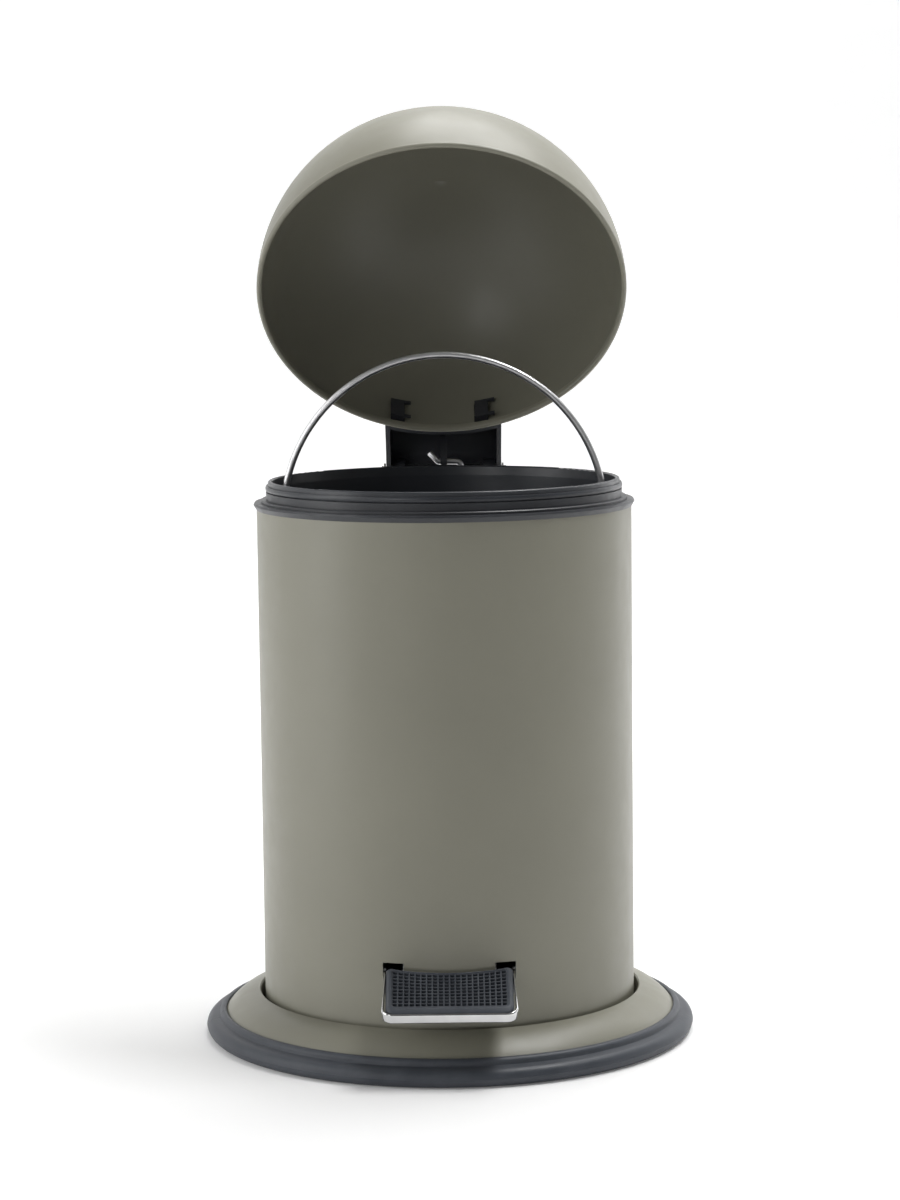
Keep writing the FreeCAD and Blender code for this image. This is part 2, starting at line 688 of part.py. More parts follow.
def push_rod():
    """Drawn about the crank hole: both ends are bent to -X, and the top end is kinked upwards."""
    elbow_x = "rod_x - rod_bend"
    bend = {"Radius1": "rod_bend", "Radius2": "rod_r", "Angle3": "90"}
    pieces = [
        solid("Cylinder", {"Radius": "rod_r", "Height": elbow_x + " + rod_kink_x"},
              ("- rod_kink_x", "0", "0"), ALONG_X),
        solid("Torus", bend, (elbow_x, "0", "- rod_bend"), quarter(0)),
        solid("Cylinder", {"Radius": "rod_r", "Height": "rod_drop - rod_bend - rod_bend"},
              ("rod_x", "0", "rod_bend - rod_drop")),
        solid("Torus", bend, (elbow_x, "0", "rod_bend - rod_drop"), quarter(270)),
        solid("Cylinder", {"Radius": "rod_r", "Height": elbow_x + " + rod_hook"},
              ("- rod_hook", "0", "- rod_drop"), ALONG_X),
        solid("Sphere", {"Radius": "rod_r"}, ("- rod_kink_x", "0", "0")),
        solid("Cylinder", {"Radius": "rod_r", "Height": "rod_kink_long"}, ("- rod_kink_x", "0", "0"),
              Rotation(Vector(0, 0, 1), Vector(-1, 0, 1))),
    ]
    rod = fused("push_rod", pieces)
    rod.Placement = Placement(lid_turn().multVec(Vector(0, DIMS["crank_y"], DIMS["crank_z"])), Rotation())
    return rod


# ---- pedal and lever ----


def fulcrum_bracket():
    body = new_body("fulcrum_bracket")
    floor = "shell_foot + plate_skin"
    section = new_sketch(body, "XZ_Plane", minus("pivot_y"))
    outline(section, [
        ("- fulcrum_out", floor),
        ("fulcrum_out", floor),
        ("fulcrum_out", "pivot_z + 5.0"),
        ("fulcrum_in", "pivot_z + 5.0"),
        ("fulcrum_in", floor + " + 2.0"),
        ("- fulcrum_in", floor + " + 2.0"),
        ("- fulcrum_in", "pivot_z + 5.0"),
        ("- fulcrum_out", "pivot_z + 5.0"),
    ])
    both_ways(body, section, "fulcrum_half")
    for sign, start in ((1, "pivot_y + 5.0"), (-1, "pivot_y - 5.0")):
        corner = new_sketch(body, "YZ_Plane")
        end = "pivot_y + fulcrum_half" if sign > 0 else "pivot_y - fulcrum_half"
        outline(corner, [(start, "pivot_z + 5.1"), (end, "pivot_z + 5.1"), (end, "pivot_z - 12.0")])
        both_ways(body, corner, "fulcrum_out", "Pocket")
    pin = new_sketch(body, "YZ_Plane")
    circle(pin, "pivot_y", "pivot_z", "pivot_pin_r")
    both_ways(body, pin, "fulcrum_out", "Pocket")
    return body


def fulcrum_rivets():
    spots = [(x, y, "shell_foot + plate_skin + 2.0") for x in ("fulcrum_in - 6.0", "6.0 - fulcrum_in")
             for y in ("pivot_y - 5.0", "pivot_y + 5.0")]
    return fasteners("fulcrum_rivets", spots, Vector(0, 0, 1),
                     "rivet_head", "rivet_head_high", "rivet_shank", "plate_skin + 2.0")


def pedal_pivot_pin():
    pin = solid("Cylinder", {"Radius": "pivot_pin_r", "Height": "pivot_pin_half + pivot_pin_half"},
                ("- pivot_pin_half", "pivot_y", "pivot_z"), ALONG_X)
    pin.Label = "pedal_pivot_pin"
    return pin


def lever_arm():
    """Two flat arms under the pedal, a barrel on the pivot, one bar to the back and an eyed tab."""
    body = new_body("lever_arm")
    side = new_sketch(body, "YZ_Plane")
    outline(side, [
        ("pivot_y - 39.7", "pivot_z - 7.1"),
        ("pivot_y - 12.8", "pivot_z + 3.7"),
        ("pivot_y", "pivot_z + 4.0"),
        ("pivot_y + 14.0", "pivot_z + 2.0"),
        ("bar_end", "eye_z + 0.2"),
        ("bar_end", "eye_z - 2.3"),
        ("pivot_y + 14.0", "pivot_z - 0.5"),
        ("pivot_y", "pivot_z - 3.5"),
        ("pivot_y - 12.0", "pivot_z + 2.0"),
        ("pivot_y - 38.9", "pivot_z - 8.8"),
    ])
    both_ways(body, side, "arm_out")
    barrel = new_sketch(body, "YZ_Plane")
    circle(barrel, "pivot_y", "pivot_z", "barrel_r")
    both_ways(body, barrel, "arm_out")
    gap = new_sketch(body, "XY_Plane")
    rectangle(gap, "- arm_in", "pivot_y - 45.0", "arm_in", "pivot_y - 6.0")
    pocket_through(body, gap, SideType="Symmetric")
    for inner, outer in (("bar_half", "arm_out + 1.0"), ("- bar_half", "- arm_out - 1.0")):
        waist = new_sketch(body, "XY_Plane")
        outline(waist, [
            (outer, "pivot_y + 6.0"),
            (inner, "pivot_y + 34.0"),
            (inner, "bar_end + 14.0"),
            (outer, "bar_end + 14.0"),
        ])
        pocket_through(body, waist, SideType="Symmetric")
    tab = new_sketch(body, "YZ_Plane")
    outline(tab, [
        ("tab_start", "eye_z - 2.8"),
        ("eye_y - 8.0", "eye_z - 5.3"),
        ("eye_y + 4.4", "eye_z - 5.3"),
        ("eye_y + 7.2", "eye_z - 2.5"),
        ("eye_y + 7.2", "eye_z + 2.5"),
        ("eye_y + 4.4", "eye_z + 5.3"),
        ("eye_y - 8.0", "eye_z + 5.3"),
        ("tab_start", "eye_z - 1.4"),
    ], {2: ("rib_r", -1), 4: ("rib_r", -1)})
    both_ways(body, tab, "tab_half")
    eye = new_sketch(body, "YZ_Plane")
    rectangle(eye, "eye_y - eye_half", "eye_z - eye_high", "eye_y + eye_half", "eye_z + eye_high")
    both_ways(body, eye, "tab_half", "Pocket")
    bore = new_sketch(body, "YZ_Plane")
    circle(bore, "pivot_y", "pivot_z", "pivot_hole")
    both_ways(body, bore, "arm_out", "Pocket")
    return body


def tilted(item):
    """Lay a flat-drawn pedal piece at the pedal's place and slope."""
    item.Placement = Placement(Vector(0, DIMS["pedal_y"], DIMS["pedal_z"]),
                               Rotation(Vector(1, 0, 0), DIMS["pedal_tilt"]))
    return item


def tray_outline(sketch, inset, rear, bow):
    """The tray's plan: a little wider at the front, and hollowed towards the shell at the rear."""
    near = "tray_half" + inset
    far = "tray_half + tray_flare" + inset
    front = minus("tray_front" + inset)
    outline(sketch, [
        (minus(near), rear),
        (minus(far), front + " + pad_corner"),
        (minus(far) + " + pad_corner", front),
        (far + " - pad_corner", front),
        (far, front + " + pad_corner"),
        (near, rear),
    ], {1: ("pad_corner", -1), 3: ("pad_corner", -1), 5: ("tray_bow", bow)})


def pedal_plate():
    body = new_body("pedal_plate")
    whole = new_sketch(body, "XY_Plane", "- tray_skin - tray_skirt")
    tray_outline(whole, "", "tray_rear", 1)
    pad(body, whole, "tray_skin + tray_skirt + tray_rim")
    top = new_sketch(body, "XY_Plane")
    tray_outline(top, " - tray_edge", "tray_rear + 6.0", 1)
    pocket(body, top, "tray_rim", Reversed=True)
    under = new_sketch(body, "XY_Plane", "- tray_skin")
    tray_outline(under, " - tray_edge", "tray_rear + 6.0", 1)
    pocket(body, under, "tray_skirt")
    for left, right in (("arm_in", "arm_out"), ("- arm_out", "- arm_in")):
        tongue = new_sketch(body, "XY_Plane", "- tray_skin")
        rectangle(tongue, left, "- tongue_in", right, "tongue_reach")
        pad(body, tongue, "tray_skin")
    return tilted(body)


def pedal_pad():
    body = new_body("pedal_pad")
    plan = new_sketch(body, "XY_Plane")
    outline(plan, [
        ("- pad_half", "tray_rear"),
        ("- pad_half", "pad_corner - pad_front"),
        ("pad_corner - pad_half", "- pad_front"),
        ("pad_half - pad_corner", "- pad_front"),
        ("pad_half", "pad_corner - pad_front"),
        ("pad_half", "tray_rear"),
    ], {1: ("pad_corner", -1), 3: ("pad_corner", -1), 5: ("tray_bow", 1)})
    pad(body, plan, "pad_thick")
    return tilted(body)


def lever_rivets():
    """They join the tray to the arms, with their heads below the arms."""
    middle = (DIMS["arm_in"] + DIMS["arm_out"]) / 2
    pieces = []
    for x in (middle, -middle):
        for back in ("rivet_front", "rivet_rear"):
            head = solid("Cone", {"Radius1": "rivet_head", "Radius2": "rivet_head - 0.7",
                                  "Height": "rivet_head_high"}, "000")
            stem = solid("Cylinder", {"Radius": "rivet_shank", "Height": "tray_skin + 2.0"},
                         ("0", "0", "- tray_skin - 2.0"))
            rivet = fused("lever_rivet", [head, stem])
            place = Vector(x, -DIMS[back], -DIMS["tray_skin"] - 2.1)
            slope = Rotation(Vector(1, 0, 0), DIMS["pedal_tilt"])
            start = Vector(0, DIMS["pedal_y"], DIMS["pedal_z"])
            rivet.Placement = Placement(start + slope.multVec(place), slope * Rotation(Vector(1, 0, 0), 180))
            pieces.append(rivet)
    group = doc.addObject("Part::Compound", "lever_rivets")
    group.Links = pieces
    group.Label = "lever_rivets"
    return group


def main():
    make_sheet()
    nodes = [
        body_shell(), base_ring(), rubber_ring(), base_plate(), base_screws(), top_collar(),
        hinge_block(), hinge_block_screws(), hinge_pin(),
        clip_rings("hinge_pin_clips", "bracket_out + clip_ring_gap", "hinge_y", "hinge_z", "hinge_pin_r"),
        rod_cover(), rod_cover_screws(), fulcrum_bracket(), fulcrum_rivets(), pedal_pivot_pin(),
        clip_rings("pivot_pin_clips", "fulcrum_out", "pivot_y", "pivot_z", "pivot_pin_r"),
        pedal_plate(), pedal_pad(), lever_arm(), lever_rivets(),
        lid_dome(), lid_bracket(), push_rod(), inner_bucket(), bail_handle(),
    ]
    doc.recompute()
    for item in doc.Objects:
        if "Invalid" in item.State or "Error" in item.State:
            raise RuntimeError("%s did not compute: %s" % (item.Name, item.State))
    for node in nodes:
        if node.Shape.isNull() or not node.Shape.isValid():
            raise RuntimeError("%s has no valid shape" % node.Label)
        node.Shape.exportStep("parts/%s.step" % node.Label)
        print("%-20s %8.0f mm3 %s" % (node.Label, node.Shape.Volume, node.Shape.optimalBoundingBox()))


main()
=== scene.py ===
import json
import math

import bmesh
import bpy
from mathutils import Matrix, Vector


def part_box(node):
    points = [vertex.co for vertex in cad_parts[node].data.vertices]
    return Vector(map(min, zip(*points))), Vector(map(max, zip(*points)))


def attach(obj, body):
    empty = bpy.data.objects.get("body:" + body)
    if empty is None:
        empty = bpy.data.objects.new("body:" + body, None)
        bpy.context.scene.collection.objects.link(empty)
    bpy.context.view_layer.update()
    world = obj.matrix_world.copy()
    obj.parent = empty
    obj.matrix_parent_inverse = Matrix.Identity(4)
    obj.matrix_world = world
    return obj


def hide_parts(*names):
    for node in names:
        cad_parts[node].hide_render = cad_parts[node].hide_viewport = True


# Pedal trash can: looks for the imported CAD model. Metres, +Z up, -Y the pedal side.

MM = 0.001

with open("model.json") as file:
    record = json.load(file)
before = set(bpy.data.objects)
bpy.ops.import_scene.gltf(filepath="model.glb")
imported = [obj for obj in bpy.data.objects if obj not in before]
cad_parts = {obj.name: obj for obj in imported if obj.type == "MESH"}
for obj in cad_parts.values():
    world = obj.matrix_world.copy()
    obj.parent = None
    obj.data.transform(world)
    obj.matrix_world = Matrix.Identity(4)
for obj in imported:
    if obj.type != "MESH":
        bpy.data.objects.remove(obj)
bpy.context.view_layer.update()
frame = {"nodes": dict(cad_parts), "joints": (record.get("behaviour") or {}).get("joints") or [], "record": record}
nodes = frame["nodes"]
joints = {joint["name"]: joint for joint in frame["joints"]}

# ---- materials ----

COAT_TONE = (0.222, 0.216, 0.170)
# painted shade: how much darker the inside of the lid dome is painted, and how soft the edge of that painted shade
# is
INSIDE_PAINTED_SHADE, INSIDE_PAINTED_SHADE_EDGE = 0.82, 0.1 * MM
RUBBER_TONES = (0.044, 0.050, 0.062), (0.066, 0.073, 0.086)
PLASTIC_TONE, PLASTIC_ROUGH = (0.026, 0.028, 0.033), 0.36
BUCKET_TONE, BUCKET_ROUGH = (0.026, 0.029, 0.035), 0.30
ZINC_TONES, ZINC_CLOUD = ((0.42, 0.43, 0.45), (0.60, 0.61, 0.62)), (0.52, 0.50, 0.44)
WIRE_TONES = (0.66, 0.66, 0.67), (0.76, 0.76, 0.765)
TURNED_TONES = (0.46, 0.46, 0.47), (0.60, 0.60, 0.61)
CHROME_TONES = (0.60, 0.60, 0.605), (0.68, 0.68, 0.68)


class Nodes:
    """Short ways to build a material's node tree."""

    def __init__(self, name):
        self.material = bpy.data.materials.new(name)
        self.material.use_nodes = True
        self.tree = self.material.node_tree
        self.shader = self.tree.nodes["Principled BSDF"]
        self.coordinates = self.add("ShaderNodeTexCoord")

    def add(self, kind, **settings):
        node = self.tree.nodes.new(kind)
        for name, value in settings.items():
            setattr(node, name, value)
        return node

    def link(self, start, end):
        self.tree.links.new(start, end)

    def place(self, stretch=(1.0, 1.0, 1.0), source="Object"):
        """Coordinates in metres on the object, or its UV map, stretched along its axes."""
        mapping = self.add("ShaderNodeMapping")
        mapping.inputs["Scale"].default_value = stretch
        self.link(self.coordinates.outputs[source], mapping.inputs["Vector"])
        return mapping.outputs["Vector"]

    def noise(self, vector, grain, detail=3.0, roughness=0.5):
        """Noise with features about grain metres across."""
        noise = self.add("ShaderNodeTexNoise")
        noise.inputs["Scale"].default_value = 1.0 / grain
        noise.inputs["Detail"].default_value = detail
        noise.inputs["Roughness"].default_value = roughness
        self.link(vector, noise.inputs["Vector"])
        return noise.outputs["Fac"]

    def cells(self, vector, grain, feature):
        """Cells about grain metres across."""
        cells = self.add("ShaderNodeTexVoronoi", feature=feature)
        cells.inputs["Scale"].default_value = 1.0 / grain
        self.link(vector, cells.inputs["Vector"])
        return cells.outputs["Distance"]

    def spread(self, value, low, high, start=0.3, end=0.7):
        """Maps value from start..end to low..high, and holds it there."""
        mapped = self.add("ShaderNodeMapRange")
        mapped.inputs["From Min"].default_value = start
        mapped.inputs["From Max"].default_value = end
        mapped.inputs["To Min"].default_value = low
        mapped.inputs["To Max"].default_value = high
        self.link(value, mapped.inputs["Value"])
        return mapped.outputs["Result"]

    def blend(self, factor, first, second):
        """A colour between first and second, which are colours or sockets."""
        mix = self.add("ShaderNodeMix", data_type="RGBA")
        self.link(factor, mix.inputs["Factor"])
        for socket, value in ((mix.inputs[6], first), (mix.inputs[7], second)):
            if isinstance(value, tuple):
                socket.default_value = (*value, 1.0)
            else:
                self.link(value, socket)
        return mix.outputs[2]

    def bump(self, height, depth, before=None):
        """Bumps depth metres high, on top of the bumps in before."""
        bump = self.add("ShaderNodeBump")
        bump.inputs["Strength"].default_value = 1.0
        bump.inputs["Distance"].default_value = depth
        self.link(height, bump.inputs["Height"])
        if before is not None:
            self.link(before, bump.inputs["Normal"])
        return bump.outputs["Normal"]

    def finish(self, colour, roughness, normal, **constants):
        """Links the three varied sockets and sets the shader's other sockets to constants."""
        self.link(colour, self.shader.inputs["Base Color"])
        self.link(roughness, self.shader.inputs["Roughness"])
        self.link(normal, self.shader.inputs["Normal"])
        for name, value in constants.items():
            self.shader.inputs[name.replace("_", " ")].default_value = value
        return self.material


def shade(colour, factor):
    return tuple(part * factor for part in colour)


def powder_coat(centre=None, reach=0.0):
    """Sage grey satin powder coat: fine orange peel, slow drift in tone, and, given a centre, painted shade: a
    darker tone nearer than reach to centre.
    """
    nodes_ = Nodes("sage_powder_coat")
    at = nodes_.place()
    tone = COAT_TONE
    drift = nodes_.noise(at, 60 * MM, detail=4.0)
    speck = nodes_.noise(at, 0.35 * MM, detail=2.0)
    colour = nodes_.blend(nodes_.spread(drift, 0.0, 1.0), shade(tone, 0.965), shade(tone, 1.03))
    colour = nodes_.blend(nodes_.spread(speck, 0.0, 0.16, 0.55, 0.75), colour, shade(tone, 0.8))
    # painted shade: given a centre, points nearer to it than reach take a darker tone; the lid dome uses this to
    # paint the shade inside the lid
    if centre is not None:
        far = nodes_.add("ShaderNodeVectorMath", operation="DISTANCE")
        nodes_.link(at, far.inputs[0])
        far.inputs[1].default_value = centre
        painted_shade_inside = nodes_.spread(far.outputs["Value"], 1.0, 0.0, reach - INSIDE_PAINTED_SHADE_EDGE, reach + INSIDE_PAINTED_SHADE_EDGE)
        colour = nodes_.blend(painted_shade_inside, colour, shade(tone, INSIDE_PAINTED_SHADE))
    peel = nodes_.bump(nodes_.noise(at, 1.3 * MM, detail=2.0), 0.010 * MM)
    grain = nodes_.bump(speck, 0.004 * MM, before=peel)
    rough = nodes_.spread(nodes_.noise(at, 9 * MM, detail=3.0), 0.40, 0.47)
    return nodes_.finish(colour, rough, grain, Specular_IOR_Level=0.5, Coat_Weight=0.12,
                         Coat_Roughness=0.3)


def rubber():
    """Black rubber with a faint bloom and a fine moulded grain."""
    nodes_ = Nodes("black_rubber")
    at = nodes_.place()
    bloom = nodes_.noise(at, 14 * MM, detail=5.0, roughness=0.6)
    colour = nodes_.blend(nodes_.spread(bloom, 0.0, 1.0, 0.35, 0.75), *RUBBER_TONES)
    coarse = nodes_.bump(nodes_.noise(at, 1.8 * MM, detail=2.0), 0.03 * MM)
    fine = nodes_.bump(nodes_.noise(at, 0.4 * MM, detail=3.0), 0.02 * MM, before=coarse)
    rough = nodes_.spread(bloom, 0.42, 0.56)
    return nodes_.finish(colour, rough, fine, Specular_IOR_Level=0.42)


def moulded(name, tone, smooth):
    """Injection-moulded black plastic: fine spark-eroded grain and faint flow variation."""
    nodes_ = Nodes(name)
    at = nodes_.place()
    flow = nodes_.noise(nodes_.place((1.0, 1.0, 0.35)), 25 * MM, detail=4.0)
    colour = nodes_.blend(nodes_.spread(flow, 0.0, 1.0), shade(tone, 0.85), shade(tone, 1.2))
    grain = nodes_.bump(nodes_.cells(at, 0.45 * MM, "SMOOTH_F1"), 0.012 * MM)
    fine = nodes_.bump(nodes_.noise(at, 0.25 * MM, detail=2.0), 0.008 * MM, before=grain)
    rough = nodes_.spread(nodes_.noise(at, 6 * MM, detail=4.0), smooth, smooth + 0.1)
    return nodes_.finish(colour, rough, fine, Specular_IOR_Level=0.5)


def zinc():
    """Zinc plated steel: cloudy spangle with fine rolling lines."""
    nodes_ = Nodes("zinc_plate")
    at = nodes_.place()
    spangle = nodes_.cells(at, 5 * MM, "SMOOTH_F1")
    cloud = nodes_.noise(at, 11 * MM, detail=5.0)
    colour = nodes_.blend(nodes_.spread(spangle, 0.0, 1.0, 0.1, 0.8), *ZINC_TONES)
    colour = nodes_.blend(nodes_.spread(cloud, 0.0, 0.35), colour, ZINC_CLOUD)
    lines = nodes_.noise(nodes_.place((1.0, 0.03, 1.0)), 0.3 * MM, detail=2.0)
    rolled = nodes_.bump(lines, 0.006 * MM)
    rough = nodes_.spread(spangle, 0.28, 0.46, 0.1, 0.8)
    return nodes_.finish(colour, rough, rolled, Metallic=1.0)


def drawn_wire():
    """Bright drawn steel wire: fine die lines along the wire, which is V on its UV map."""
    nodes_ = Nodes("drawn_wire")
    lines = nodes_.noise(nodes_.place((1.0, 0.02, 1.0), "UV"), 0.18 * MM, detail=3.0)
    tint = nodes_.noise(nodes_.place(), 8 * MM, detail=4.0)
    colour = nodes_.blend(nodes_.spread(tint, 0.0, 1.0), *WIRE_TONES)
    drawn = nodes_.bump(lines, 0.010 * MM)
    rough = nodes_.spread(lines, 0.26, 0.4)
    return nodes_.finish(colour, rough, drawn, Metallic=1.0)


def turned_steel():
    """Bright steel of the pins, screws and rivets: fine tool marks."""
    nodes_ = Nodes("turned_steel")
    at = nodes_.place()
    marks = nodes_.noise(at, 0.2 * MM, detail=2.0)
    tint = nodes_.noise(at, 3 * MM, detail=4.0)
    colour = nodes_.blend(nodes_.spread(tint, 0.0, 1.0), *TURNED_TONES)
    rough = nodes_.spread(marks, 0.22, 0.38)
    return nodes_.finish(colour, rough, nodes_.bump(marks, 0.004 * MM), Metallic=1.0)


def chrome():
    """Chrome plate: nearly a mirror, with faint polishing lines and hazy patches."""
    nodes_ = Nodes("chrome_plate")
    at = nodes_.place()
    haze = nodes_.noise(at, 7 * MM, detail=4.0)
    lines = nodes_.noise(nodes_.place((0.05, 1.0, 1.0)), 0.15 * MM, detail=2.0)
    colour = nodes_.blend(nodes_.spread(haze, 0.0, 1.0), *CHROME_TONES)
    rough = nodes_.spread(haze, 0.06, 0.14)
    return nodes_.finish(colour, rough, nodes_.bump(lines, 0.002 * MM), Metallic=1.0)


FINISH = {
    "sage_paint": powder_coat(),
    "black_rubber": rubber(),
    "black_plastic": moulded("black_plastic", PLASTIC_TONE, PLASTIC_ROUGH),
    "bucket_plastic": moulded("bucket_plastic", BUCKET_TONE, BUCKET_ROUGH),
    "zinc_steel": zinc(),
    "bright_steel": turned_steel(),
    "chrome_plate": chrome(),
}
WIRE_FINISH = drawn_wire()

for part in frame["record"]["subparts"]:
    node = nodes[part["node"]]
    node.data.materials.clear()
    node.data.materials.append(FINISH[part["material_slot"]])

# ---- new pieces ----

SAME_SPOT = 1e-7
FULL_TURN = 2 * math.pi


def new_piece(name, mesh, body, slot, *replaced, finish=None):
    """Shows a mesh as a piece that rides on a body, and stands for CAD nodes if any are named."""
    mesh.materials.append(finish or FINISH[slot])
    mesh.shade_smooth()
    item = bpy.data.objects.new(name, mesh)
    bpy.context.scene.collection.objects.link(item)
    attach(item, body)
    if replaced:
        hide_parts(*replaced)


def sharpen(mesh, degrees):
    """Keeps edges sharper than this many degrees crisp on a smooth mesh."""
    mesh.set_sharp_from_angle(angle=math.radians(degrees))


def loft(name, rings, first_cap=False, last_cap=False, closed=False):
    """A mesh through rings of points, each a closed loop with the same number of points."""
    count = len(rings[0])
    vertices = [point for ring in rings for point in ring]
    faces = []
    spans = len(rings) if closed else len(rings) - 1
    for row in range(spans):
        low, high = row * count, (row + 1) % len(rings) * count
        for k in range(count):
            following = (k + 1) % count
            faces.append((low + k, low + following, high + following, high + k))
    if first_cap:
        faces.append(tuple(reversed(range(count))))
    if last_cap:
        last = (len(rings) - 1) * count
        faces.append(tuple(last + k for k in range(count)))
    mesh = bpy.data.meshes.new(name)
    mesh.from_pydata(vertices, [], faces)
    work = bmesh.new()
    work.from_mesh(mesh)
    bmesh.ops.remove_doubles(work, verts=work.verts, dist=SAME_SPOT)
    bmesh.ops.recalc_face_normals(work, faces=work.faces)
    work.to_mesh(mesh)
    work.free()
    return mesh


def upright(section, turn):
    """A section of radius and height pairs in millimetres, stood up at a turn round the can's axis."""
    return [(r * MM * math.cos(turn), r * MM * math.sin(turn), z * MM) for r, z in section]


def arc(centre, radius, start, end, steps):
    """Points of an arc in a plane, from start to end in degrees."""
    turns = [math.radians(start + (end - start) * step / steps) for step in range(steps + 1)]
    return [(centre[0] + radius * math.cos(turn), centre[1] + radius * math.sin(turn)) for turn in turns]


# pedal pad: a smooth raised border round a field of square dimples

PEDAL_TILT = math.radians(22.0)
PAD = {"half": 27.5, "front": 29.4, "rear": 3.2, "thick": 2.4, "bow": 100.0,
       "corner": 4.4, "corner_least": 0.9, "corner_rear": 1.2,
       "border": 2.6, "border_front": 4.2, "border_rear": 1.3,
       "sink": 0.5, "deep": 1.3, "rib": 0.18, "columns": 20, "rows": 10, "gap": 0.05}

# the border's section from the underside in: how far in from the edge, how far below the top
PAD_SHOULDER = [(0.0, 1.5), (0.08, 1.25), (0.3, 0.95), (0.7, 0.55), (1.1, 0.2), (1.3, 0.06), (1.5, 0.0)]

# a pit's section: share of the pitch further in than the rib's edge, how far below the ribs
PIT_WALL = [(0.0, 0.0), (0.03, 0.12), (0.09, PAD["deep"])]


def pedal_frame():
    """The pad's own frame: X across, Y back along the slope, Z out of the pad, in metres."""
    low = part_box("pedal_pad")[0]
    thick = PAD["thick"] * MM
    origin_y = low.y + PAD["front"] * MM * math.cos(PEDAL_TILT) + thick * math.sin(PEDAL_TILT)
    origin_z = low.z + PAD["front"] * MM * math.sin(PEDAL_TILT)
    return Matrix.Translation((0.0, origin_y, origin_z)) @ Matrix.Rotation(PEDAL_TILT, 4, "X")


def pad_rear(x):
    """How far back the pad's hollowed rear edge is at x, in millimetres."""
    bow = PAD["bow"]
    return PAD["rear"] - (math.sqrt(bow ** 2 - x ** 2) - math.sqrt(bow ** 2 - PAD["half"] ** 2))


def pad_outline(inset, corner, side_steps, end_steps, corner_steps=5):
    """The pad's plan as a loop, inset from its edge, anticlockwise from the front left corner."""
    half = PAD["half"] - inset
    front = -PAD["front"] + inset * PAD["border_front"] / PAD["border"]
    behind = inset * PAD["border_rear"] / PAD["border"]
    loop = arc((-half + corner, front + corner), corner, 180, 270, corner_steps)
    for step in range(1, side_steps):
        loop.append((-half + corner + 2 * (half - corner) * step / side_steps, front))
    loop += arc((half - corner, front + corner), corner, 270, 360, corner_steps)
    back = pad_rear(half) - behind
    rear_corner = min(corner, PAD["corner_rear"])
    for step in range(1, end_steps):
        loop.append((half, front + corner + (back - rear_corner - front - corner) * step / end_steps))
    loop += arc((half - rear_corner, back - rear_corner), rear_corner, 0, 90, corner_steps)
    for step in range(1, side_steps):
        x = half - rear_corner - 2 * (half - rear_corner) * step / side_steps
        loop.append((x, pad_rear(x) - behind))
    loop += arc((-half + rear_corner, back - rear_corner), rear_corner, 90, 180, corner_steps)
    for step in range(1, end_steps):
        loop.append((-half, back - rear_corner + (front + corner - back + rear_corner) * step / end_steps))
    return loop


def pad_field():
    """The dimpled field: ribs with square pits whose walls lean in."""
    columns, rows = PAD["columns"], PAD["rows"]
    half = PAD["half"] - PAD["border"] - PAD["gap"]
    front = -PAD["front"] + PAD["border_front"] + PAD["gap"]
    ribs = PAD["thick"] - PAD["sink"]
    vertices, faces = [], []

    def spot(u, v, height):
        x = -half + 2 * half * u
        back = pad_rear(x) - PAD["border_rear"] - PAD["gap"]
        vertices.append((x, front + (back - front) * v, height))
        return len(vertices) - 1

    edge = PAD["rib"] / 2
    levels = [(0.0, ribs)] + [(edge + into, ribs - down) for into, down in PIT_WALL]
    for column in range(columns):
        for row in range(rows):
            loops = []
            for inset, height in levels:
                corners = ((inset, inset), (1 - inset, inset), (1 - inset, 1 - inset), (inset, 1 - inset))
                loops.append([spot((column + u) / columns, (row + v) / rows, height) for u, v in corners])
            for inner, outer in zip(loops[1:], loops):
                for k in range(4):
                    faces.append((outer[k], outer[(k + 1) % 4], inner[(k + 1) % 4], inner[k]))
            faces.append(tuple(loops[-1]))
    return vertices, faces


def pedal_pad():
    """The border, capped below, with the dimpled field set in it."""
    top, sink = PAD["thick"], PAD["thick"] - PAD["sink"]
    border, side_steps, end_steps = PAD["border"], 24, 12
    levels = [(0.5, 0.0), (0.0, 0.0)] + [(into, top - down) for into, down in PAD_SHOULDER]
    levels += [(border - 0.5, top - 0.02), (border - 0.25, top - 0.12), (border - 0.08, sink + 0.1),
               (border, sink), (border + 0.2, sink - 0.02)]
    rings = []
    for inset, height in levels:
        corner = max(PAD["corner"] - inset, PAD["corner_least"])
        rings.append([(x, y, height) for x, y in pad_outline(inset, corner, side_steps, end_steps)])
    mesh = loft("pedal_pad_dimpled", rings, first_cap=True)
    vertices, faces = pad_field()
    work = bmesh.new()
    work.from_mesh(mesh)
    added = [work.verts.new(vertex) for vertex in vertices]
    for face in faces:
        work.faces.new([added[index] for index in face])
    bmesh.ops.remove_doubles(work, verts=added, dist=1e-4)
    bmesh.ops.scale(work, vec=(MM, MM, MM), verts=work.verts)
    bmesh.ops.transform(work, matrix=pedal_frame(), verts=work.verts)
    work.to_mesh(mesh)
    work.free()
    new_piece("pedal_pad_dimpled", mesh, "pedal", "black_rubber", "pedal_pad")
    sharpen(mesh, 35)


# pedal tray: pressed sheet with a rolled rim on three sides, and two tongues on the lever's arms

TRAY = {"half": 28.5, "flare": 0.9, "front": 30.6, "rear": 3.2, "corner": 5.0, "bow": 100.0,
        "skin": 1.2, "rim": 1.4, "skirt": 1.8,
        "fold_wide": 3.0, "fold_end": 1.6, "fold_fade": 2.5, "fold_front": 6.0,
        "tongue_in": 20.6, "tongue_out": 27.6, "tongue_from": 12.0, "tongue_to": 11.5,
        "tongue_thinner": 0.02, "tongue_round": 0.25}

# the rim's outer face and rounded top: how far in from the edge, how high over the sheet
RIM_OUTSIDE = [(0.0, -1.4), (0.0, -0.5), (0.01, 0.2), (0.03, 0.5), (0.08, 0.75), (0.16, 0.96),
               (0.27, 1.13), (0.4, 1.27), (0.54, 1.36)]


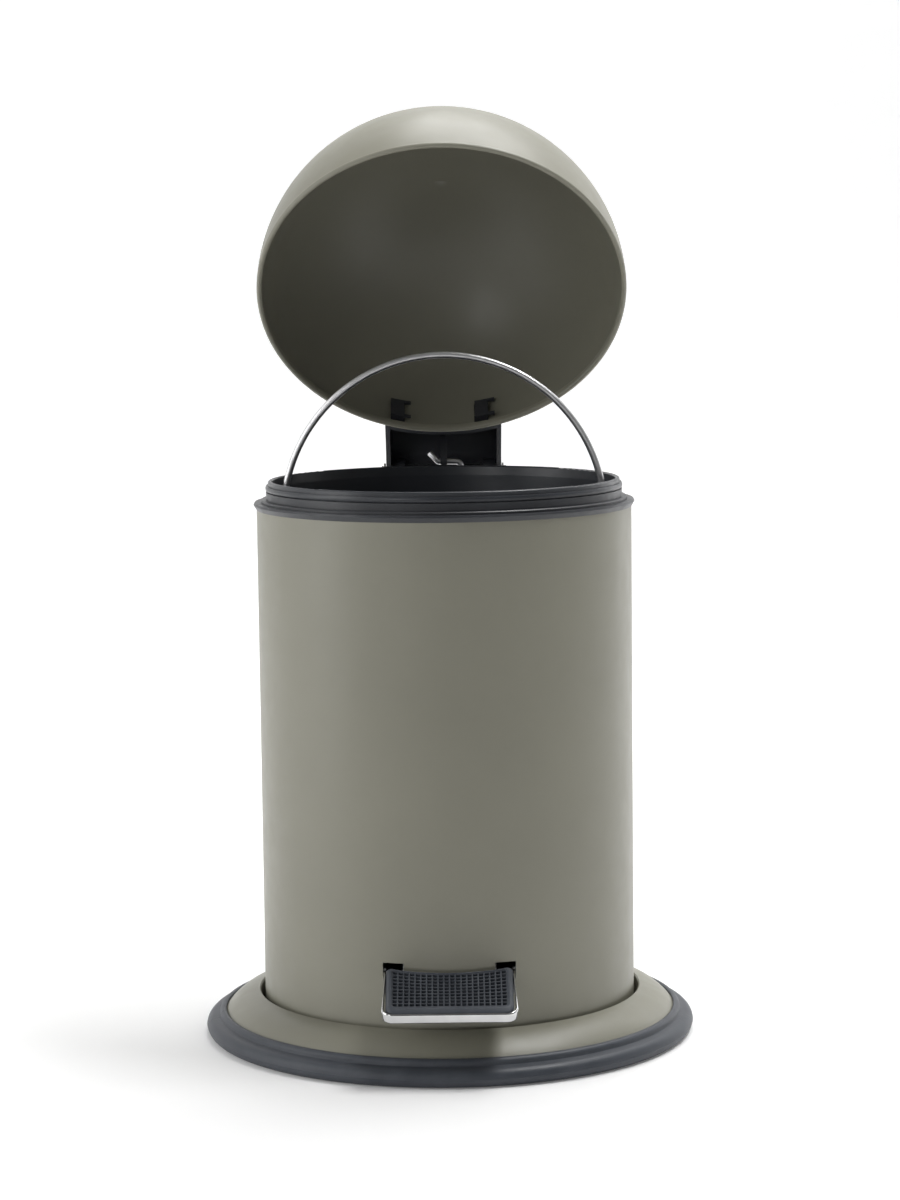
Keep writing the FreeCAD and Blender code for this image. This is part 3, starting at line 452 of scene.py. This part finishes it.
def tray_outline(inset, side_steps=24, end_steps=16, corner_steps=8):
    """The tray's plan as a loop, inset from its edge. Its rear edge is hollowed and isn't inset."""
    rear, corner = TRAY["rear"], TRAY["corner"] - inset
    near, far = TRAY["half"] - inset, TRAY["half"] + TRAY["flare"] - inset
    front = -TRAY["front"] + inset
    right = arc((far - corner, front + corner), corner, 270, 360, corner_steps)
    for step in range(1, end_steps + 1):
        part = step / end_steps
        right.append((far + (near - far) * part, front + corner + (rear - front - corner) * part))
    left = [(-x, y) for x, y in reversed(right)]
    first = left[-1]
    loop = left + [(first[0] + (right[0][0] - first[0]) * step / side_steps, front)
                   for step in range(1, side_steps)] + right
    depth = math.sqrt(TRAY["bow"] ** 2 - near ** 2)
    for step in range(1, side_steps):
        x = near - 2 * near * step / side_steps
        loop.append((x, rear - (math.sqrt(TRAY["bow"] ** 2 - x ** 2) - depth)))
    return loop


def tray_fold(x, y):
    """How far the tray's edge is folded at a place: 1 along the front and the sides, 0 along the rear."""
    if y < -TRAY["front"] + TRAY["fold_front"]:
        return 1.0
    if abs(x) <= TRAY["half"] - TRAY["fold_wide"]:
        return 0.0
    return min(max((TRAY["rear"] - TRAY["fold_end"] - y) / TRAY["fold_fade"], 0.0), 1.0)


def pedal_tray():
    """The tray with its folded rim, and a tongue on each side for the lever's arm."""
    skin, under, over = TRAY["skin"], -TRAY["skin"] - TRAY["skirt"], TRAY["rim"]
    below = [(1.6, -skin), (0.8, -skin)]
    folded = [(0.8, under + 0.15), (0.62, under), (0.25, under), (0.1, under + 0.12), (0.03, under + 0.5)]
    folded += RIM_OUTSIDE
    folded += [(0.68, over), (0.78, over - 0.03), (0.84, over - 0.12), (0.86, over - 0.4), (0.86, 0.08)]
    above = [(0.98, 0.0), (1.6, 0.0)]
    rings = [[(x, y, height) for x, y in tray_outline(inset)] for inset, height in below]
    for inset, height in folded:
        flat = -skin if height < -skin / 2 else 0.0
        rings.append([(x, y, flat + (height - flat) * tray_fold(x, y)) for x, y in tray_outline(inset)])
    rings += [[(x, y, height) for x, y in tray_outline(inset)] for inset, height in above]
    mesh = loft("pedal_tray_pressed", rings, first_cap=True, last_cap=True)
    work = bmesh.new()
    work.from_mesh(mesh)
    for side in (-1, 1):
        made = bmesh.ops.create_cube(work, size=1.0)["verts"]
        wide = TRAY["tongue_out"] - TRAY["tongue_in"]
        long = TRAY["tongue_from"] + TRAY["tongue_to"]
        bmesh.ops.scale(work, vec=(wide, long, skin - TRAY["tongue_thinner"]), verts=made)
        middle = (side * (TRAY["tongue_in"] + wide / 2), TRAY["tongue_to"] - long / 2, -skin / 2)
        bmesh.ops.translate(work, vec=middle, verts=made)
        edges = {edge for vert in made for edge in vert.link_edges}
        bmesh.ops.bevel(work, geom=list(edges), offset=TRAY["tongue_round"], segments=3, profile=0.5,
                        affect="EDGES")
    bmesh.ops.scale(work, vec=(MM, MM, MM), verts=work.verts)
    bmesh.ops.transform(work, matrix=pedal_frame(), verts=work.verts)
    work.to_mesh(mesh)
    work.free()
    new_piece("pedal_tray_pressed", mesh, "pedal", "chrome_plate", "pedal_plate")
    sharpen(mesh, 50)


# lid hem: the sheet's edge rolled inwards and closed against the dome

LID_OPEN = 51.7
HEM = {"edge": 85.7, "below_hinge": 4.5, "half": 1.15, "deep": 2.3, "rise": 2.4, "skin": 0.8,
       "round": 0.5, "cover": 0.03, "steps": 288}


def hem():
    """A smooth skin over the hem, and painted shade inside the dome: a darker tone on its inner face."""
    hinge = Vector(joints["lid_hinge"]["pos_m"])
    cover, edge, high = HEM["cover"], HEM["edge"], hinge.z / MM - HEM["below_hinge"]
    inner = edge - HEM["deep"]
    section = [(edge + cover, high + 0.6), (edge + cover, high + 0.3)]
    section += arc((edge - HEM["half"], high), HEM["half"] + cover, 0, -180, 16)
    section += [(inner - cover, high + 0.9)]
    corner = (inner + HEM["round"], high + HEM["rise"] - HEM["round"])
    section += arc(corner, HEM["round"] + cover, 180, 90, 5)
    section += [(edge - HEM["skin"] - 0.3, high + HEM["rise"] + cover)]
    section += [(edge - HEM["skin"] + 0.3, high + HEM["rise"] - 0.2), (edge - 0.2, high + 0.8)]
    rings = [upright(section, FULL_TURN * step / HEM["steps"]) for step in range(HEM["steps"])]
    mesh = loft("lid_hem_rolled", rings, closed=True)
    pivot = Matrix.Translation(hinge)
    opened = pivot @ Matrix.Rotation(math.radians(-LID_OPEN), 4, "X") @ pivot.inverted()
    mesh.transform(opened)
    new_piece("lid_hem_rolled", mesh, "lid", "sage_paint")
    sharpen(mesh, 50)
    # painted shade: the dome's inner face is given a darker tone for the shade inside the open lid
    dome = nodes["lid_dome"]
    centre = dome.matrix_world.inverted() @ opened @ Vector((0.0, 0.0, high * MM))
    dome.data.materials.clear()
    dome.data.materials.append(powder_coat(centre, (edge - HEM["skin"] / 2) * MM))


# rubber ring: one extrusion bent round the base, with its ends butted at one side

RUBBER = {"bulge_in": 4.2, "bulge_high": 4.1, "bulge_r": 4.05, "foot_in": 4.0, "lip_in": 16.7,
          "web_in": 13.7, "groove_in": 6.0, "bead_out": 0.9, "bead_high": 9.4, "bead_r": 2.2,
          "joint_at": 188.0, "joint_gap": 0.14, "steps": 360}


def rubber_section(outer, painted):
    """The extrusion's section, from its lip under the base outwards and over to the painted ring's edge."""
    bulge = (outer - RUBBER["bulge_in"], RUBBER["bulge_high"])
    bulge_r = RUBBER["bulge_r"]
    parting = bulge[0] + bulge_r
    groove = outer - RUBBER["groove_in"]
    lip, web = outer - RUBBER["lip_in"], outer - RUBBER["web_in"]
    section = [(lip, 0.3), (lip + 0.3, 0.0), (outer - RUBBER["foot_in"], 0.0)]
    section += arc(bulge, bulge_r, -80, -6, 10)
    section += [(parting + 0.02, 3.9), (parting + 0.1, 4.05), (parting + 0.02, 4.2)]
    section += arc(bulge, bulge_r, 6, 80, 10)
    section += [(groove + 0.5, 8.5), (groove + 0.1, 8.62), (groove, 8.9)]
    section += arc((painted + RUBBER["bead_out"], RUBBER["bead_high"]), RUBBER["bead_r"], -8, 88, 8)
    section += [(painted + 0.3, 11.5), (painted, 11.1), (painted, 6.6), (painted - 1.1, 6.5)]
    section += [(painted - 1.2, 9.1), (web, 9.2), (web, 3.6), (lip, 2.8)]
    return section


def rubber_ring():
    """The section bent once round the base, with a fine gap where its ends meet."""
    section = rubber_section(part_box("rubber_ring")[1].x / MM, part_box("base_ring")[1].x / MM)
    gap, steps = RUBBER["joint_gap"], RUBBER["steps"]
    first, reach = RUBBER["joint_at"] + gap / 2, 360.0 - gap
    rings = [upright(section, math.radians(first + reach * step / steps)) for step in range(steps + 1)]
    mesh = loft("rubber_ring_moulded", rings, first_cap=True, last_cap=True)
    new_piece("rubber_ring_moulded", mesh, "can", "black_rubber", "rubber_ring")
    sharpen(mesh, 50)


# wires

CUT_ROUND = 0.18
CUT_END, CUT_EDGE = 0.82, 0.95
BEND = 2.5 * MM
HOOP = 73.0 * MM
ROD = {"kink_in": 2.6 * MM, "kink_long": 6.2 * MM, "foot_end": -4.5 * MM, "steps": 12}


def wire(name, path, radius, body, replaced, sides=20):
    """Round wire along path, with slightly rounded cut ends and its length along V on its UV map."""
    points = [Vector(point) for point in path]
    lengths = [0.0]
    for before, after in zip(points, points[1:]):
        lengths.append(lengths[-1] + (after - before).length)
    start_way = (points[1] - points[0]).normalized()
    end_way = (points[-1] - points[-2]).normalized()
    round_off = radius * CUT_ROUND
    end, near_end = radius * CUT_END, radius * CUT_EDGE
    points[0] = points[0] + start_way * round_off
    points[-1] = points[-1] - end_way * round_off
    side = start_way.orthogonal().normalized()
    rings, along = [], []
    for index, point in enumerate(points):
        before, after = points[max(index - 1, 0)], points[min(index + 1, len(points) - 1)]
        way = (after - before).normalized()
        side = (side - way * side.dot(way)).normalized()
        other = way.cross(side)
        spots = [(0.0, radius)]
        if index == 0:
            spots = [(-round_off, end), (-round_off * 0.3, near_end), (0.0, radius)]
        elif index == len(points) - 1:
            spots = [(0.0, radius), (round_off * 0.3, near_end), (round_off, end)]
        for shift, size in spots:
            rings.append([point + way * shift + (side * math.cos(turn) + other * math.sin(turn)) * size
                          for turn in (FULL_TURN * k / sides for k in range(sides))])
            along.append(lengths[index])
    mesh = loft(name, rings, first_cap=True, last_cap=True)
    layer = mesh.uv_layers.new(name="along")
    for face in mesh.polygons:
        turns = [mesh.loops[index].vertex_index % sides for index in face.loop_indices]
        wrap = max(turns) - min(turns) > 1 and len(turns) == 4
        for index, turn in zip(face.loop_indices, turns):
            around = turn + sides if wrap and turn == 0 else turn
            row = mesh.loops[index].vertex_index // sides
            layer.data[index].uv = (around / sides * FULL_TURN * radius, along[row])
    new_piece(name, mesh, body, "bright_steel", replaced, finish=WIRE_FINISH)
    sharpen(mesh, 60)


def bail():
    """The bucket's hoop, with both ends bent outwards into the bosses."""
    low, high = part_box("bail_handle")
    radius = (high.y - low.y) / 2
    pivot = joints["bail_swing"]["pos_m"][2]
    hoop_z = pivot + BEND
    path = [(low.x, pivot)]
    path += arc((-HOOP - BEND, hoop_z), BEND, 270, 360, 8)
    path += arc((0.0, hoop_z), HOOP, 180, 0, 120)[1:]
    path += arc((HOOP + BEND, hoop_z), BEND, 180, 270, 8)[1:]
    path += [(high.x, pivot)]
    wire("bail_wire", [(across, 0.0, up) for across, up in path], radius, "bail", "bail_handle")


def push_rod():
    """The rod from the lid's rib down to the lever: both ends bent in, the top end kinked up."""
    low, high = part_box("push_rod")
    radius = (high.y - low.y) / 2
    x, foot, steps = high.x - radius, low.z + radius, ROD["steps"]
    crank = Vector(joints["rod_pivot"]["pos_m"])
    kink, rise = crank.x - ROD["kink_in"], ROD["kink_long"] * math.sqrt(0.5)
    straight = crank.z - foot - 2 * BEND
    path = [(kink - rise, crank.z + rise), (kink - 0.5 * MM, crank.z + 0.5 * MM)]
    path += [(kink, crank.z + 0.12 * MM), (kink + 0.6 * MM, crank.z)]
    path += arc((x - BEND, crank.z - BEND), BEND, 90, 0, 8)
    path += [(x, crank.z - BEND - straight * step / steps) for step in range(1, steps)]
    path += arc((x - BEND, foot + BEND), BEND, 0, -90, 8)
    path += [(ROD["foot_end"], foot)]
    wire("push_rod_wire", [(across, crank.y, up) for across, up in path], radius, "rod", "push_rod")


# screws

SCREW_HIGH = 1.6 * MM
SCREW_HEAD, SCREW_SHANK, SCREW_RIM = 3.0 * MM, 1.5 * MM, 0.55 * MM
RECESS_REACH, RECESS_HALF, RECESS_DEEP = 1.55 * MM, 0.36 * MM, 1.0 * MM
FIRST_TURN, NEXT_TURN = 0.4, 1.9


def islands(node):
    """The boxes of a node's separate solids, as pairs of corners."""
    work = bmesh.new()
    work.from_mesh(nodes[node].data)
    bmesh.ops.remove_doubles(work, verts=work.verts, dist=10 * SAME_SPOT)
    left, found = set(work.verts), []
    while left:
        front = [left.pop()]
        group = list(front)
        while front:
            near = {edge.other_vert(vert) for vert in front for edge in vert.link_edges} & left
            left -= near
            front = list(near)
            group += front
        corners = [Vector(pick(vert.co[axis] for vert in group) for axis in range(3)) for pick in (min, max)]
        found.append(corners)
    work.free()
    return sorted(found, key=lambda corners: tuple(corners[0]))


def turned(points, steps=48):
    """Rings of a turned shape: points are radius and height pairs."""
    turns = [FULL_TURN * k / steps for k in range(steps)]
    return [[(r * math.cos(turn), r * math.sin(turn), z) for turn in turns] for r, z in points]


def screw_mesh(name, long):
    """A pan head screw with a cross recess, its head's seat at the origin and its head up +Z."""
    head, shank, rim, high = SCREW_HEAD, SCREW_SHANK, SCREW_RIM, SCREW_HIGH
    profile = [(shank * 0.5, -long), (shank * 0.8, -long + 0.6 * MM), (shank, -long + 1.2 * MM)]
    profile += [(shank, -0.2 * MM), (shank + 0.15 * MM, 0.0), (head - 0.15 * MM, 0.0), (head, 0.15 * MM)]
    profile += [(head, rim)]
    profile += [(head * math.cos(turn) ** 0.75, rim + (high - rim) * math.sin(turn))
                for turn in (math.radians(15 * step) for step in range(1, 4))]
    profile += [(RECESS_REACH * 1.12, high - 0.04 * MM)]
    rings = turned(profile)
    count = len(rings[0])
    for grow, height in ((1.0, high - 0.04 * MM), (0.93, high - 0.15 * MM), (0.6, high - RECESS_DEEP)):
        cross = []
        for k in range(count):
            turn = FULL_TURN * k / count
            near = max(min(abs(math.cos(turn)), abs(math.sin(turn))), 1e-6)
            size = min(RECESS_REACH, RECESS_HALF / near) * grow
            cross.append((size * math.cos(turn), size * math.sin(turn), height))
        rings.append(cross)
    return loft(name, rings, first_cap=True, last_cap=True)


def screws(node, body, facing):
    """Stands detailed screws in for a node of plain ones, each turned its own way."""
    work = bmesh.new()
    facing = Vector(facing)
    axis = max(range(3), key=lambda index: abs(facing[index]))
    for index, (low, top) in enumerate(islands(node)):
        source = screw_mesh(node + "_one", (top - low)[axis] - SCREW_HIGH)
        seat = (low + top) / 2
        seat[axis] = top[axis] - SCREW_HIGH if facing[axis] > 0 else low[axis] + SCREW_HIGH
        place = Matrix.Translation(seat) @ facing.to_track_quat("Z", "Y").to_matrix().to_4x4()
        source.transform(place @ Matrix.Rotation(FIRST_TURN + NEXT_TURN * index, 4, "Z"))
        work.from_mesh(source)
    mesh = bpy.data.meshes.new(node + "_detailed")
    work.to_mesh(mesh)
    work.free()
    new_piece(node + "_detailed", mesh, body, "bright_steel", node)
    sharpen(mesh, 35)


pedal_pad()
pedal_tray()
hem()
rubber_ring()
bail()
push_rod()
screws("base_screws", "can", (0, 0, -1))
screws("rod_cover_screws", "can", (0, 1, 0))

# ---- camera, light and floor ----

CAMERA_LENS, CAMERA_LEAN = 93.4, -0.67
CAMERA_PLACE, CAMERA_TARGET = (0.0013, -1.4102, 0.3608), (0.0022, 0.0, 0.198)
MIDDLE = (0.0, 0.0, 0.2)
WHITE = (1.0, 1.0, 1.0, 1.0)

# name, place, aimed at, width and height, watts
BOXES = [
    ("left_box", (-1.5, -0.4, 0.6), MIDDLE, (0.9, 1.7), 12.0),
    ("right_box", (1.2, 1.3, 0.6), MIDDLE, (0.5, 1.7), 3.0),
    ("top_box", (0.3, 0.65, 1.75), MIDDLE, (1.3, 1.0), 20.0),
    ("front_top_box", (0.62, -0.12, 1.45), (0.05, -0.08, 0.02), (0.42, 0.42), 10.0),
    ("fill_box", (-1.0, -1.6, 0.75), (0.0, 0.0, 0.3), (0.6, 0.6), 4.0),
]

# the world's strength by direction, from straight in front (low) to straight behind (high)
SKY = {"From Min": -0.7, "From Max": 0.6, "To Min": 0.11, "To Max": 0.5}

FLOOR = {"half": 30.0, "front": -30.0, "back": 1.8, "bend": 0.9, "high": 5.0, "steps": 24}
FLOOR_PALE, FLOOR_PALEST, FLOOR_FAR = (0.86, 0.86, 0.86), (0.88, 0.88, 0.88), (0.56, 0.56, 0.56)


def look_at(item, target):
    item.rotation_euler = (Vector(target) - item.location).to_track_quat("-Z", "Y").to_euler()


def camera():
    """The camera in front of the can, a little above it, with a slight lean."""
    lens = bpy.data.cameras.new("camera")
    lens.lens = CAMERA_LENS
    item = bpy.data.objects.new("camera", lens)
    bpy.context.scene.collection.objects.link(item)
    item.location = CAMERA_PLACE
    look_at(item, CAMERA_TARGET)
    item.rotation_euler.rotate_axis("Z", math.radians(CAMERA_LEAN))
    bpy.context.scene.camera = item


def softbox(name, place, target, size, power):
    light = bpy.data.lights.new(name, "AREA")
    light.shape = "RECTANGLE"
    light.size, light.size_y = size
    light.energy = power
    item = bpy.data.objects.new(name, light)
    item.location = place
    look_at(item, target)
    bpy.context.scene.collection.objects.link(item)


def studio():
    """The softboxes, and a plain white world that is dimmer in front of the can than behind it."""
    for box in BOXES:
        softbox(*box)
    world = bpy.data.worlds.new("studio")
    world.use_nodes = True
    tree = world.node_tree
    place = tree.nodes.new("ShaderNodeTexCoord")
    split = tree.nodes.new("ShaderNodeSeparateXYZ")
    ramp = tree.nodes.new("ShaderNodeMapRange")
    ramp.interpolation_type = "SMOOTHSTEP"
    for name, value in SKY.items():
        ramp.inputs[name].default_value = value
    tree.links.new(place.outputs["Generated"], split.inputs["Vector"])
    tree.links.new(split.outputs["Y"], ramp.inputs["Value"])
    tree.links.new(ramp.outputs["Result"], tree.nodes["Background"].inputs["Strength"])
    tree.nodes["Background"].inputs["Color"].default_value = WHITE
    bpy.context.scene.world = world


def pale_floor():
    """Matt pale floor with faint clouding, a little greyer away in front and glowing faintly far off."""
    nodes_ = Nodes("pale_floor")
    at = nodes_.place()
    cloud = nodes_.noise(at, 0.5, detail=3.0)
    split = nodes_.add("ShaderNodeSeparateXYZ")
    nodes_.link(at, split.inputs["Vector"])
    away = nodes_.spread(split.outputs["Y"], 1.0, 0.0, -1.2, -0.3)
    colour = nodes_.blend(nodes_.spread(cloud, 0.0, 1.0), FLOOR_PALE, FLOOR_PALEST)
    colour = nodes_.blend(away, colour, FLOOR_FAR)
    rough = nodes_.spread(cloud, 0.7, 0.8)
    grain = nodes_.bump(nodes_.noise(at, 2 * MM), 0.01 * MM)
    glow = nodes_.add("ShaderNodeMath", operation="ADD")
    nodes_.link(nodes_.spread(split.outputs["Y"], 0.0, 0.5, -0.3, 0.9), glow.inputs[0])
    nodes_.link(nodes_.spread(split.outputs["Y"], 0.35, 0.0, -3.0, -0.9), glow.inputs[1])
    nodes_.link(glow.outputs["Value"], nodes_.shader.inputs["Emission Strength"])
    return nodes_.finish(colour, rough, grain, Specular_IOR_Level=0.2, Emission_Color=WHITE)


def sweep():
    """A pale floor that curves up into a wall behind the can."""
    half, back, bend, steps = FLOOR["half"], FLOOR["back"], FLOOR["bend"], FLOOR["steps"]
    line = [(FLOOR["front"], 0.0)]
    for step in range(steps + 1):
        turn = math.pi / 2 * step / steps
        line.append((back + bend * math.sin(turn), bend - bend * math.cos(turn)))
    line.append((back + bend, FLOOR["high"]))
    vertices = [(x, y, z) for y, z in line for x in (-half, half)]
    faces = [(2 * i, 2 * i + 1, 2 * i + 3, 2 * i + 2) for i in range(len(line) - 1)]
    mesh = bpy.data.meshes.new("floor")
    mesh.from_pydata(vertices, [], faces)
    mesh.shade_smooth()
    item = bpy.data.objects.new("floor", mesh)
    bpy.context.scene.collection.objects.link(item)
    mesh.materials.append(pale_floor())


camera()
studio()
sweep()
bpy.context.scene.view_settings.view_transform = "Standard"
